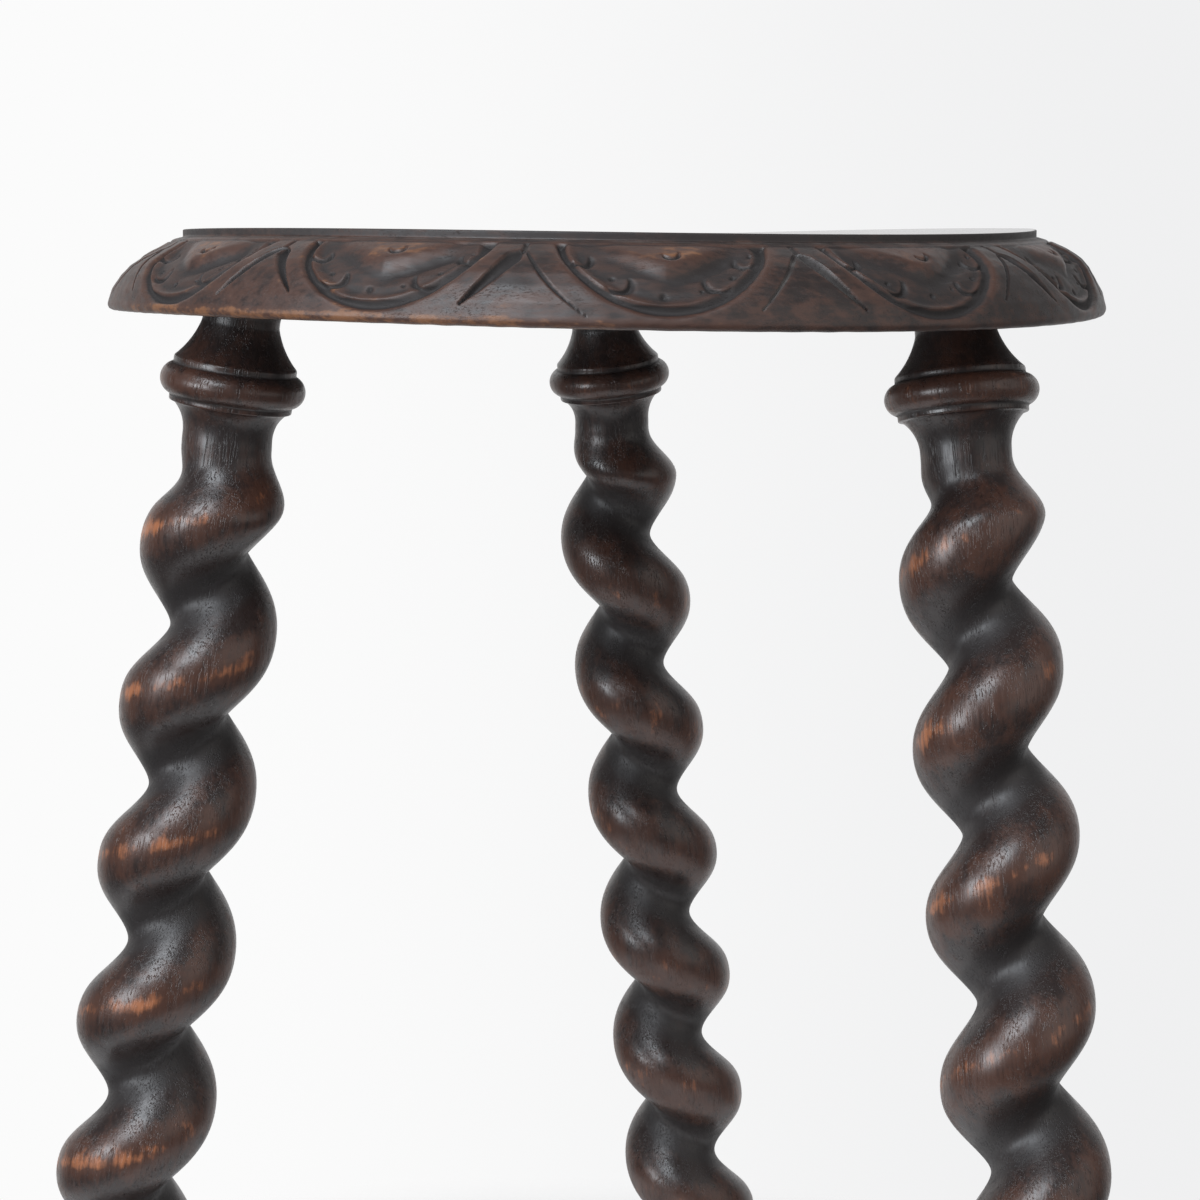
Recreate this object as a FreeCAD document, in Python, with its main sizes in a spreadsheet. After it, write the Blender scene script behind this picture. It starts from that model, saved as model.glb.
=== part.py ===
# A round three-legged oak stool: a moulded seat of two boards on splayed barley-twist legs.
import FreeCAD, Part
import math
import os

import Sketcher

# Sizes in millimetres and degrees; names that end in share are ratios
SIZES = {
    # Seat: two boards glued edge to edge, turned round, with a stepped ovolo rim
    "seat_height": 450.0,
    "seat_diameter": 305.0,
    "seat_thickness": 24.4,
    "rim_width": 22.5,
    "table_step": 2.3,
    "ovolo_bulge": 4.5,
    "seat_arris": 1.6,
    # Seat axis and middle of the legs' circle, from the middle of the footprint on the floor
    "seat_axis_x": 12.5,
    "seat_axis_y": -17.2,
    "legs_axis_x": 10.3,
    "legs_axis_y": -17.2,
    # Dowels in the glue line
    "dowel_diameter": 10.0,
    "dowel_length": 50.0,
    "dowel_spacing": 90.0,
    "dowel_end_room": 1.0,
    # Blind sockets under the table, the leg tenons in them and the wedges that spread those
    "socket_inset": 12.3,
    "socket_cover": 6.4,
    "tenon_shoulder": 1.6,
    "tenon_end_room": 1.0,
    "glue_gap": 0.15,
    "kerf_width": 1.0,
    "kerf_share": 0.82,
    "wedge_share": 0.7,
    "wedge_head": 3.2,
    "wedge_tip": 1.2,
    "wedge_inset": 1.5,
    # Turned collar at both ends of a leg, with a fillet above and below it and a cove to the neck
    "collar_height": 9.2,
    "collar_bulge": 3.4,
    "fillet_diameter": 37.0,
    "fillet_height": 1.8,
    "fillet_step": 1.1,
    "cove_height": 9.3,
    "cove_bulge": 1.15,
    "neck_diameter": 26.2,
    "neck_length": 2.6,
    # Flared throat between the upper collar and the seat
    "throat_diameter": 23.2,
    "flare_height": 11.4,
    "flare_bulge": 0.9,
    # Ankle and bun foot below the lower collar
    "ankle_diameter": 28.0,
    "ankle_rise": 4.6,
    "bun_height": 33.0,
    "bun_bulge": 6.2,
    "sole_diameter": 31.0,
    # Twist: a section that is thrown off the leg's axis and a little flat along the throw, turning as it goes down
    "twist_pitch": 48.25,
    "twist_throw": 5.9,
    "twist_flat": 0.87,
    "twist_diameter": 33.3,
    "twist_swell": 2.9,
    "twist_fade": 19.8,
    "stop_cut": 0.2,
    # Each leg: bearing of its socket, lean, swing of the lean from the radius,
    # drop from the seat to the collar, and where the twist's ridge starts
    "left_bearing": 209.1,
    "left_lean": 8.3,
    "left_swing": -40.9,
    "left_drop": 21.4,
    "left_ridge": 352.4,
    "right_bearing": 329.7,
    "right_lean": 10.98,
    "right_swing": -30.1,
    "right_drop": 21.9,
    "right_ridge": 17.0,
    "rear_bearing": 90.9,
    "rear_lean": 9.28,
    "rear_swing": -45.4,
    "rear_drop": 28.4,
    "rear_ridge": 251.9,
    # Waste left on a turning before it is pared to the seat and the floor, and on every cut
    "overrun": 6.0,
}

# Hand of each leg's twist: 1 climbs like a right-hand screw
HANDS = {"left": 1, "right": 1, "rear": -1}
STATIONS_PER_TURN = 14
POINTS_PER_RING = 20

# Sizes that follow from the sheet's
UNDERSIDE = "(sizes.seat_height - sizes.seat_thickness)"
RIM_RADIUS = "(sizes.seat_diameter / 2)"
TABLE_RADIUS = "(sizes.seat_diameter / 2 - sizes.rim_width)"
SOCKET_DEPTH = "(sizes.seat_thickness - sizes.socket_cover)"
TENON_RADIUS = "(sizes.throat_diameter / 2 - sizes.tenon_shoulder)"
TENON_LENGTH = f"({SOCKET_DEPTH} - sizes.tenon_end_room)"
NECK_RADIUS = "(sizes.neck_diameter / 2)"
FILLET_RADIUS = "(sizes.fillet_diameter / 2)"
COVE_RADIUS = "(sizes.fillet_diameter / 2 - sizes.fillet_step)"
COLLAR_HALF = "(sizes.collar_height / 2)"
COLLAR_REACH = "(sizes.collar_height / 2 + sizes.fillet_height)"
NECK_REACH = f"({COLLAR_REACH} + sizes.cove_height + sizes.neck_length)"
FOOT_COLLAR = f"(sizes.bun_height + sizes.ankle_rise + {COLLAR_REACH})"
UPRIGHT = "rotation(vector(0; 0; 1); 0 deg)"

doc = FreeCAD.newDocument("stool")
sheet = doc.addObject("Spreadsheet::Sheet", "sizes")
for row, (alias, size) in enumerate(SIZES.items(), start=1):
    sheet.set(f"A{row}", alias)
    sheet.set(f"B{row}", str(size))
    sheet.setAlias(f"B{row}", alias)
doc.recompute()


def number(expression):
    """Value of an expression in the sheet's sizes."""
    return float(sheet.evalExpression(expression))


def seat_frame():
    """Placement of the seat: on its axis, level with its underside."""
    return f"placement(vector(sizes.seat_axis_x; sizes.seat_axis_y; {UNDERSIDE}); {UPRIGHT})"


def leg_frame(leg, x="0", y="0", z="0"):
    """Placement in a leg: its axis where it meets the seat's underside, then an offset in its own axes."""
    bearing = f"(sizes.{leg}_bearing * 1 deg)"
    lean_bearing = f"((sizes.{leg}_bearing + sizes.{leg}_swing) * 1 deg)"
    circle = f"({TABLE_RADIUS} - sizes.socket_inset)"
    socket_x = f"sizes.legs_axis_x + {circle} * cos{bearing}"
    socket_y = f"sizes.legs_axis_y + {circle} * sin{bearing}"
    lean = f"rotation(vector(sin{lean_bearing}; -cos{lean_bearing}; 0); sizes.{leg}_lean * 1 deg)"
    socket = f"placement(vector({socket_x}; {socket_y}; {UNDERSIDE}); {lean})"
    return f"{socket} * placement(vector({x}; {y}; {z}); {UPRIGHT})"


def leg_length(leg):
    """Length of a leg's axis from the seat's underside to the floor."""
    return f"({UNDERSIDE} / cos(sizes.{leg}_lean * 1 deg))"


def new_body(name, frame):
    body = doc.addObject("PartDesign::Body", name)
    body.setExpression("Placement", frame)
    return body


def arc_radius(start, end, bulge):
    """Radius of the arc between two corners that stands off their chord by the bulge."""
    chord_squared = f"((({end[0]}) - ({start[0]}))^2 + (({end[1]}) - ({start[1]}))^2)"
    return f"{chord_squared} / (8 * {bulge}) + {bulge} / 2"


def bowed_arc(start, end, radius, bulge, outward):
    """Arc between two points, bowed to the right of the way if outward, else to the left."""
    first, last = (start, end) if outward else (end, start)
    chord = last - first
    to_centre = FreeCAD.Vector(-chord.y, chord.x, 0).normalize() * (radius - bulge)
    centre = (first + last) / 2 + to_centre
    begin = math.atan2(first.y - centre.y, first.x - centre.x)
    finish = math.atan2(last.y - centre.y, last.x - centre.x)
    return Part.ArcOfCircle(Part.Circle(centre, FreeCAD.Vector(0, 0, 1), radius), begin, finish)


def draw_section(body, name, corners, rounds=None, hollows=None):
    """Closed sketch in the body's upright plane, through corners given as pairs of expressions.

    rounds and hollows map a corner's index to the bulge of the arc that follows it.
    """
    rounds = rounds or {}
    hollows = hollows or {}
    bulges = {**rounds, **hollows}
    sketch = body.newObject("Sketcher::SketchObject", name)
    plane = next(feature for feature in body.Origin.OriginFeatures if feature.Role == "XZ_Plane")
    sketch.AttachmentSupport = [(plane, "")]
    sketch.MapMode = "FlatFace"
    points = [FreeCAD.Vector(number(x), number(y), 0) for x, y in corners]
    radii = {}
    for index, start in enumerate(points):
        after = (index + 1) % len(points)
        edge = Part.LineSegment(start, points[after])
        if index in bulges:
            radii[index] = arc_radius(corners[index], corners[after], bulges[index])
            radius = number(radii[index])
            edge = bowed_arc(start, points[after], radius, number(bulges[index]), index in rounds)
        sketch.addGeometry(edge, False)

    def bind(constraint, expression):
        index = sketch.addConstraint(constraint)
        sketch.setExpression(f"Constraints[{index}]", expression)

    for index, (x, y) in enumerate(corners):
        before = index - 1 if index else len(corners) - 1
        head = 2 if index in hollows else 1
        tail = 1 if before in hollows else 2
        sketch.addConstraint(Sketcher.Constraint("Coincident", before, tail, index, head))
        for kind, axis, place in (("DistanceX", -2, x), ("DistanceY", -1, y)):
            if place == "0":
                sketch.addConstraint(Sketcher.Constraint("PointOnObject", index, head, axis))
            else:
                bind(Sketcher.Constraint(kind, index, head, number(place)), place)
    for index, radius in radii.items():
        bind(Sketcher.Constraint("Radius", index, number(radius)), radius)
    return sketch


def revolve(body, sketch, angle=360, backward=False):
    turning = body.newObject("PartDesign::Revolution", f"{sketch.Name}_turning")
    turning.Profile = sketch
    turning.ReferenceAxis = (sketch, ["V_Axis"])
    turning.Angle = angle
    turning.Reversed = backward


def cylinder(name, radius, height, frame):
    rod = doc.addObject("Part::Cylinder", name)
    rod.setExpression("Radius", radius)
    rod.setExpression("Height", height)
    rod.setExpression("Placement", frame)
    return rod


def block(name, length, width, height, frame):
    box = doc.addObject("Part::Box", name)
    box.setExpression("Length", length)
    box.setExpression("Width", width)
    box.setExpression("Height", height)
    box.setExpression("Placement", frame)
    return box


def join(name, *pieces):
    fusion = doc.addObject("Part::MultiFuse", name)
    fusion.Shapes = list(pieces)
    return fusion


def cut(name, base, tool):
    cutting = doc.addObject("Part::Cut", name)
    cutting.Base = base
    cutting.Tool = tool
    return cutting


def dowel_frame(side, reach):
    """Placement of a dowel across the glue line, starting reach in front of it."""
    x = f"sizes.seat_axis_x + {side} * sizes.dowel_spacing"
    y = f"sizes.seat_axis_y - {reach}"
    z = "sizes.seat_height - sizes.seat_thickness / 2"
    return f"placement(vector({x}; {y}; {z}); rotation(vector(1; 0; 0); -90 deg))"


def make_dowels():
    """Dowels across the glue line, and the holes that take them."""
    radius = "sizes.dowel_diameter / 2"
    reach = "(sizes.dowel_length / 2)"
    hole_radius = f"{radius} + sizes.glue_gap"
    hole_reach = "(sizes.dowel_length / 2 + sizes.dowel_end_room)"
    dowels = []
    holes = []
    for name, side in (("left", -1), ("middle", 0), ("right", 1)):
        frame = dowel_frame(side, reach)
        hole_frame = dowel_frame(side, hole_reach)
        dowels.append(cylinder(f"seat_dowel_{name}", radius, f"2 * {reach}", frame))
        holes.append(cylinder(f"dowel_hole_{name}", hole_radius, f"2 * {hole_reach}", hole_frame))
    return dowels, holes


def make_socket(leg):
    """Blind socket for a leg's tenon, bored along the leg."""
    radius = f"{TENON_RADIUS} + sizes.glue_gap"
    depth = f"{SOCKET_DEPTH} + sizes.overrun"
    return cylinder(f"socket_{leg}", radius, depth, leg_frame(leg, z="-sizes.overrun"))


def make_board(name, backward, bores):
    """Half of the seat: half a turn of its moulded section, bored for dowels and tenons."""
    body = new_body(f"{name}_blank", seat_frame())
    corners = [
        ("0", "0"),
        (f"{RIM_RADIUS} - sizes.seat_arris", "0"),
        (RIM_RADIUS, "sizes.seat_arris"),
        (TABLE_RADIUS, "sizes.seat_thickness - sizes.table_step"),
        (TABLE_RADIUS, "sizes.seat_thickness"),
        ("0", "sizes.seat_thickness"),
    ]
    quarter_round = "(sizes.seat_arris * (1 - sqrt(2) / 2))"
    rounds = {1: quarter_round, 2: "sizes.ovolo_bulge"}
    revolve(body, draw_section(body, f"{name}_section", corners, rounds), 180, backward)
    return cut(name, body, join(f"{name}_bores", *bores))


def make_head(leg):
    """Throat, flare, collar, cove and neck at the head of a leg."""
    body = new_body(f"head_{leg}", leg_frame(leg))
    collar = f"-sizes.{leg}_drop"
    throat = "sizes.throat_diameter / 2"
    corners = [
        ("0", "sizes.overrun"),
        ("0", f"{collar} - {NECK_REACH}"),
        (NECK_RADIUS, f"{collar} - {NECK_REACH}"),
        (NECK_RADIUS, f"{collar} - {COLLAR_REACH} - sizes.cove_height"),
        (COVE_RADIUS, f"{collar} - {COLLAR_REACH}"),
        (FILLET_RADIUS, f"{collar} - {COLLAR_REACH}"),
        (FILLET_RADIUS, f"{collar} - {COLLAR_HALF}"),
        (FILLET_RADIUS, f"{collar} + {COLLAR_HALF}"),
        (FILLET_RADIUS, f"{collar} + {COLLAR_REACH}"),
        (throat, f"{collar} + {COLLAR_REACH} + sizes.flare_height"),
        (throat, "sizes.overrun"),
    ]
    rounds = {6: "sizes.collar_bulge"}
    hollows = {3: "sizes.cove_bulge", 8: "sizes.flare_bulge"}
    revolve(body, draw_section(body, f"head_section_{leg}", corners, rounds, hollows))
    return body


def make_foot(leg):
    """Neck, cove, collar, ankle and bun foot at the end of a leg."""
    body = new_body(f"foot_{leg}", leg_frame(leg))
    floor = f"-{leg_length(leg)}"
    collar = f"{floor} + {FOOT_COLLAR}"
    corners = [
        ("0", f"{collar} + {NECK_REACH}"),
        ("0", f"{floor} - sizes.overrun"),
        ("sizes.sole_diameter / 2", f"{floor} - sizes.overrun"),
        ("sizes.ankle_diameter / 2", f"{floor} + sizes.bun_height"),
        (FILLET_RADIUS, f"{collar} - {COLLAR_REACH}"),
        (FILLET_RADIUS, f"{collar} - {COLLAR_HALF}"),
        (FILLET_RADIUS, f"{collar} + {COLLAR_HALF}"),
        (FILLET_RADIUS, f"{collar} + {COLLAR_REACH}"),
        (COVE_RADIUS, f"{collar} + {COLLAR_REACH}"),
        (NECK_RADIUS, f"{collar} + {COLLAR_REACH} + sizes.cove_height"),
        (NECK_RADIUS, f"{collar} + {NECK_REACH}"),
    ]
    rounds = {2: "sizes.bun_bulge", 5: "sizes.collar_bulge"}
    hollows = {8: "sizes.cove_bulge"}
    revolve(body, draw_section(body, f"foot_section_{leg}", corners, rounds, hollows))
    return body


def ease(share):
    """Smooth rise from 0 to 1 as a share goes from 0 to 1."""
    share = min(max(share, 0.0), 1.0)
    return share * share * (3 - 2 * share)


def twist_section(down, length):
    """Radius, throw and flatness of the twist's section at a distance down the twist."""
    fade = number("sizes.twist_fade")
    grow = ease(down / fade) * ease((length - down) / fade)
    swell = grow * (1 + number("sizes.twist_swell / sizes.twist_diameter") * down / length)
    end_radius = number(f"{NECK_RADIUS} - sizes.stop_cut")
    radius = (1 - grow) * end_radius + swell * number("sizes.twist_diameter / 2")
    return radius, swell * number("sizes.twist_throw"), -swell * number("sizes.twist_flat")


def section_ring(waves):
    """Ring about the leg's axis whose radius goes through a number of waves on its way round."""
    turns = [2 * math.pi * point / POINTS_PER_RING for point in range(POINTS_PER_RING + 1)]
    points = []
    for turn in turns[:-1]:
        radius = math.cos(waves * turn)
        points.append(FreeCAD.Vector(radius * math.cos(turn), radius * math.sin(turn), 0))
    ring = Part.BSplineCurve()
    ring.interpolate(Points=points, PeriodicFlag=True, Parameters=turns)
    return ring


def make_twist(leg):
    """Barley twist: one smooth skin through sections that turn about the leg's axis."""
    top = number(f"sizes.{leg}_drop + {NECK_REACH}")
    length = number(f"{leg_length(leg)} - {FOOT_COLLAR} - {NECK_REACH}") - top
    turn_rate = -HANDS[leg] * 2 * math.pi / number("sizes.twist_pitch")
    ridge = math.radians(number(f"sizes.{leg}_ridge"))
    count = math.ceil(STATIONS_PER_TURN * length * abs(turn_rate) / (2 * math.pi))
    downs = [length * station / count for station in range(count + 1)]

    rings = [section_ring(waves) for waves in range(3)]
    rows = []
    for poles in zip(*(ring.getPoles() for ring in rings)):
        track = []
        for down in downs:
            place = FreeCAD.Vector(0, 0, -top - down)
            for pole, size in zip(poles, twist_section(down, length)):
                place += pole * size
            turn = FreeCAD.Rotation(FreeCAD.Vector(0, 0, 1), math.degrees(ridge + turn_rate * (top + down)))
            track.append(turn.multVec(place))
        line = Part.BSplineCurve()
        line.interpolate(Points=track, Parameters=downs)
        rows.append(line.getPoles())
    ring = rings[0]
    skin = Part.BSplineSurface()
    skin.buildFromPolesMultsKnots(
        rows,
        ring.getMultiplicities(),
        line.getMultiplicities(),
        ring.getKnots(),
        line.getKnots(),
        True,
        False,
        ring.Degree,
        line.Degree,
    )
    side = skin.toShape()
    ends = [Part.Face(Part.Wire(edge)) for edge in side.Edges if edge.isClosed()]
    shell = Part.makeShell([side] + ends)
    shell.sewShape()
    twist = doc.addObject("Part::Feature", f"twist_{leg}")
    twist.Shape = Part.makeSolid(shell)
    twist.setExpression("Placement", leg_frame(leg))
    return twist


def make_wedge(leg):
    """Wedge driven into the end of a leg's tenon."""
    body = new_body(f"wedge_{leg}", leg_frame(leg))
    head = f"{SOCKET_DEPTH} - sizes.glue_gap"
    tip = f"{TENON_LENGTH} * (1 - sizes.wedge_share)"
    corners = [
        ("-sizes.wedge_tip / 2", tip),
        ("sizes.wedge_tip / 2", tip),
        ("sizes.wedge_head / 2", head),
        ("-sizes.wedge_head / 2", head),
    ]
    pad = body.newObject("PartDesign::Pad", f"wedge_pad_{leg}")
    pad.Profile = draw_section(body, f"wedge_section_{leg}", corners)
    pad.setExpression("Length", f"2 * ({TENON_RADIUS} - sizes.wedge_inset)")
    pad.Midplane = True
    return body


def make_kerf(leg):
    """Saw cut across the end of a leg's tenon."""
    depth = f"{TENON_LENGTH} * sizes.kerf_share"
    frame = leg_frame(leg, "-sizes.kerf_width / 2", f"-{TENON_RADIUS}", f"{TENON_LENGTH} - {depth}")
    return block(f"kerf_{leg}", "sizes.kerf_width", f"2 * {TENON_RADIUS}", f"{depth} + sizes.overrun", frame)


def make_leg(leg, wedge, waste):
    """Leg of one piece: turned ends and twist, pared to seat and floor, with a split tenon."""
    turned = join(f"turned_{leg}", make_head(leg), make_twist(leg), make_foot(leg))
    pared = cut(f"pared_{leg}", turned, waste)
    reach = f"{TENON_LENGTH} + sizes.overrun"
    tenon = cylinder(f"tenon_{leg}", TENON_RADIUS, reach, leg_frame(leg, z="-sizes.overrun"))
    tenoned = join(f"tenoned_{leg}", pared, tenon)
    return cut(f"leg_{leg}", tenoned, join(f"split_{leg}", wedge, make_kerf(leg)))


def make_waste():
    """Space that the legs are pared back from: the seat's, and the ground below the floor."""
    seat_x = f"sizes.seat_axis_x - {RIM_RADIUS}"
    seat_y = f"sizes.seat_axis_y - {RIM_RADIUS}"
    seat_room = block(
        "seat_room",
        "sizes.seat_diameter",
        "sizes.seat_diameter",
        "sizes.seat_thickness + sizes.overrun",
        f"placement(vector({seat_x}; {seat_y}; {UNDERSIDE}); {UPRIGHT})",
    )
    depth = "(sizes.overrun + sizes.sole_diameter)"
    ground = block(
        "ground",
        "2 * sizes.seat_diameter",
        "2 * sizes.seat_diameter",
        depth,
        f"placement(vector(-sizes.seat_diameter; -sizes.seat_diameter; -{depth}); {UPRIGHT})",
    )
    return join("waste", seat_room, ground)


def check(pieces):
    """Stop unless every step worked and every piece is one sound solid."""
    for item in doc.Objects:
        if "Invalid" in item.State or "Error" in item.State:
            raise RuntimeError(f"{item.Name} failed: {item.State}")
    for piece in pieces:
        if piece.Shape.isNull() or not piece.Shape.isValid() or len(piece.Shape.Solids) != 1:
            raise RuntimeError(f"{piece.Label} is not one sound solid")
    for leg in HANDS:
        if not doc.getObject(f"twist_{leg}").Shape.isValid():
            raise RuntimeError(f"The twist of the {leg} leg is not sound")


def main():
    dowels, holes = make_dowels()
    sockets = {leg: make_socket(leg) for leg in HANDS}
    boards = [
        make_board("seat_front_board", True, holes + [sockets["left"], sockets["right"]]),
        make_board("seat_rear_board", False, holes + [sockets["rear"]]),
    ]
    wedges = [make_wedge(leg) for leg in HANDS]
    waste = make_waste()
    legs = [make_leg(leg, wedge, waste) for leg, wedge in zip(HANDS, wedges)]
    doc.recompute()

    pieces = boards + dowels + legs + wedges
    check(pieces)
    os.makedirs("parts", exist_ok=True)
    for piece in pieces:
        piece.Shape.exportStep(f"parts/{piece.Label}.step")
        box = piece.Shape.optimalBoundingBox()
        low = f"{box.XMin:.1f} {box.YMin:.1f} {box.ZMin:.1f}"
        high = f"{box.XMax:.1f} {box.YMax:.1f} {box.ZMax:.1f}"
        print(f"{piece.Label}: {piece.Shape.Volume:.0f} mm3, from {low} to {high}")


main()
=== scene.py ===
"""Looks of a round oak stool: a seat with a carved lunette border on three barley-twist legs."""

import math
from typing import NamedTuple

import bmesh
import bpy
import numpy as np
from bpy.props import FloatProperty, FloatVectorProperty, IntProperty, PointerProperty
from mathutils import Matrix, Vector


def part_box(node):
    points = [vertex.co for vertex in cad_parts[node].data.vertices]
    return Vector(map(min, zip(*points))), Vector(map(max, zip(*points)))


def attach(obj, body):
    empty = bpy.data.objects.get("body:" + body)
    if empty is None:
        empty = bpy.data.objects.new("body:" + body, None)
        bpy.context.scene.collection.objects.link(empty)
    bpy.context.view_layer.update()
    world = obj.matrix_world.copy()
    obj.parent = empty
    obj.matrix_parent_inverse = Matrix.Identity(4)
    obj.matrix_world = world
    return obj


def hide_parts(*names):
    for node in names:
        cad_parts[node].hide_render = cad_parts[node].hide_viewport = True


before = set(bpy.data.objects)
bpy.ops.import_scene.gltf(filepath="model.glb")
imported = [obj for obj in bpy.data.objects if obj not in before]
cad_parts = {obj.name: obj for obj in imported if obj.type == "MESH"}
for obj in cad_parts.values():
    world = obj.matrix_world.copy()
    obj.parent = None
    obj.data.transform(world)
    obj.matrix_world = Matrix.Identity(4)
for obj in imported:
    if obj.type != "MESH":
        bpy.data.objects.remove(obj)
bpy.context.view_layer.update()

bl_info = {
    "name": "Barley-twist stool",
    "version": (1, 0, 0),
    "blender": (4, 5, 0),
    "location": "3D View > Sidebar > Stool",
    "description": "Carves, turns and finishes a round oak stool around its packed model",
    "category": "Object",
}

MM = 0.001
BODY = "root"
SEAT_OAK = "waxed_seat_oak"
LEG_OAK = "waxed_leg_oak"
BARE = "plain_oak"
HIDDEN_PINS = (
    "seat_dowel_left", "seat_dowel_middle", "seat_dowel_right",
    "wedge_left", "wedge_right", "wedge_rear",
)

SEAT_LOW, SEAT_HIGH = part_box("seat_front_board")
SEAT_RADIUS = (SEAT_HIGH.x - SEAT_LOW.x) / 2
SEAT_AXIS = ((SEAT_HIGH.x + SEAT_LOW.x) / 2, SEAT_HIGH.y)
SEAT_TOP = SEAT_HIGH.z
UNDERSIDE = SEAT_LOW.z


class Stance(NamedTuple):
    """How one leg stands and how it is turned."""

    bearing: float  # degrees round the seat to its socket
    lean: float  # degrees off upright
    swing: float  # degrees from its bearing to where it leans
    drop: float  # from the seat's underside to the middle of its collar
    ridge: float  # degrees at which its twist starts
    pitch: float  # of its twist
    hand: int  # of its twist, 1 or -1
    girth: float  # how full its head is
    fullness: float  # how full its twist is
    head_shift: float  # of its head off the twist's axis
    rub: float  # how much its crests are rubbed
    painted_shade: float  # how much painted shade darkens it below the crests; below 0, painted light


STANCES = {
    "left": Stance(
        bearing=209.1, lean=8.30, swing=-40.9, drop=21.4 * MM, ridge=344.5, pitch=48.59 * MM,
        hand=1, girth=0.963, fullness=0.984, head_shift=-0.7 * MM, rub=1.35, painted_shade=0.17,
    ),
    "right": Stance(
        bearing=329.7, lean=10.98, swing=-30.1, drop=21.9 * MM, ridge=21.6, pitch=48.08 * MM,
        hand=1, girth=1.017, fullness=1.018, head_shift=0.3 * MM, rub=1.0, painted_shade=0.0,
    ),
    "rear": Stance(
        bearing=90.9, lean=9.28, swing=-45.4, drop=28.4 * MM, ridge=253.2, pitch=48.29 * MM,
        hand=-1, girth=0.969, fullness=1.0, head_shift=1.3 * MM, rub=0.35, painted_shade=-0.10,
    ),
}


def setting(name, description, default, **kind):
    """Number that can be set."""
    return FloatProperty(name=name, description=description, default=default, **kind)


def length(name, description, millimetres):
    """Setting that is a length."""
    return setting(name, description, millimetres * MM, unit="LENGTH", precision=5)


def angle(name, description, degrees):
    """Setting that is an angle."""
    return setting(name, description, math.radians(degrees), subtype="ANGLE")


def share(name, description, default):
    """Setting between 0 and 1."""
    return setting(name, description, default, min=0, max=1, subtype="FACTOR")


def power(name, description, watts):
    """Setting that is a lamp's power."""
    return setting(name, description, watts, unit="POWER")


def colour(name, description, default):
    """Setting that is a colour."""
    return FloatVectorProperty(
        name=name, description=description, default=default, size=3, min=0, max=1, subtype="COLOR"
    )


class StoolSeatSettings(bpy.types.PropertyGroup):
    """Sizes of the seat's moulded rim and of the lunettes cut into it."""

    rim_width: length("Rim width", "From the table's edge to the rim", 22.5)
    table_step: length("Table step", "Height of the table above the moulding", 2.3)
    warp: length("Winding", "How far the front board has twisted as it dried", 2.1)
    rear_warp: length("Rear winding", "How far the rear board has twisted", 2.9)
    rear_drop: length("Rear drop", "How much lower the rear edge lies", 2.9)
    dish: length("Dish", "How far the middle of the table is worn down", 1.2)
    tilt: angle("Tilt", "How far the seat has sunk to its left", 0.46)
    taper: length("Taper", "How much the boards thin towards the left", 0.55)
    sag: length("Sag", "How much lower the moulding is worn at its left", 0.9)
    droop: length("Droop", "How far the lower edge hangs below the underside", 0.35)
    rounding: length("Rounding", "How much the lower edge is worn back at its right", 1.2)
    lunettes: IntProperty(
        name="Lunettes", description="Half-moons round the rim", default=12, min=3
    )
    lunette_turn: angle("Turn", "First joint between lunettes, from the front", -9.2)
    lunette_half_width: length("Half width", "Half of a lunette at its top", 29.5)
    lunette_drop: length("Drop", "From the table's step to a lunette's foot", 29.9)
    groove_depth: length("Groove depth", "Depth of the groove inside the strap", 1.9)
    ground_depth: length("Ground depth", "Depth of the sunk ground round the lobe", 2.0)
    scoop_depth: length("Scoop depth", "How much deeper the ground is at the lobe's right", 1.2)
    slot_depth: length("Slot depth", "Depth of the gouged slots between lunettes", 2.4)
    eye_depth: length("Eye depth", "Depth of the crescent cuts", 1.35)


class StoolLegSettings(bpy.types.PropertyGroup):
    """Sizes of the turned and twisted legs."""

    socket_inset: length("Socket inset", "From the table's edge to a socket", 12.3)
    circle_x: length("Circle aside", "Legs' circle, right of the seat's axis", -2.2)
    circle_y: length("Circle back", "Legs' circle, behind the seat's axis", 0.0)
    tenon_radius: length("Tenon radius", "Half of the tenon", 10.0)
    tenon_length: length("Tenon length", "Tenon above the seat's underside", 16.5)
    throat_radius: length("Throat radius", "Narrow end below the seat", 11.6)
    flare_height: length("Flare height", "Hollow above the collar", 11.4)
    flare_hollow: length("Flare hollow", "Depth of that hollow", 0.9)
    fillet_radius: length("Fillet radius", "Fillets beside the collar", 18.5)
    fillet_height: length("Fillet height", "Each fillet", 1.8)
    collar_height: length("Collar height", "Half-round between the fillets", 9.2)
    collar_bulge: length("Collar bulge", "How far the half-round stands out", 3.4)
    fillet_step: length("Fillet step", "From the fillet to the cove", 1.1)
    cove_height: length("Cove height", "Hollow next to the twist", 9.3)
    cove_hollow: length("Cove hollow", "Depth of that hollow", 1.15)
    neck_radius: length("Neck radius", "Where the twist begins and ends", 13.1)
    neck_length: length("Neck length", "Plain part of the neck", 2.6)
    twist_radius: length("Twist radius", "Mean radius of the twist's section", 16.65)
    throw: length("Throw", "How far the section is thrown off the axis", 5.9)
    flat: length("Flat", "How much the section is flattened along the throw", 0.87)
    swell: share("Swell", "How much thicker the twist gets towards the floor", 0.087)
    fade: length("Fade", "Over which the twist rises out of the neck", 19.8)
    bun_height: length("Bun height", "Foot below the ankle", 33.0)
    bun_bulge: length("Bun bulge", "How far the foot stands out", 6.2)
    ankle_radius: length("Ankle radius", "Narrow part above the foot", 14.0)
    ankle_rise: length("Ankle rise", "From the ankle to the lower collar", 4.6)
    sole_radius: length("Sole radius", "Where the foot stands", 15.5)
    hand_wobble: length("Hand wobble", "Unevenness left by rasp and knife", 0.10)


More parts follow.
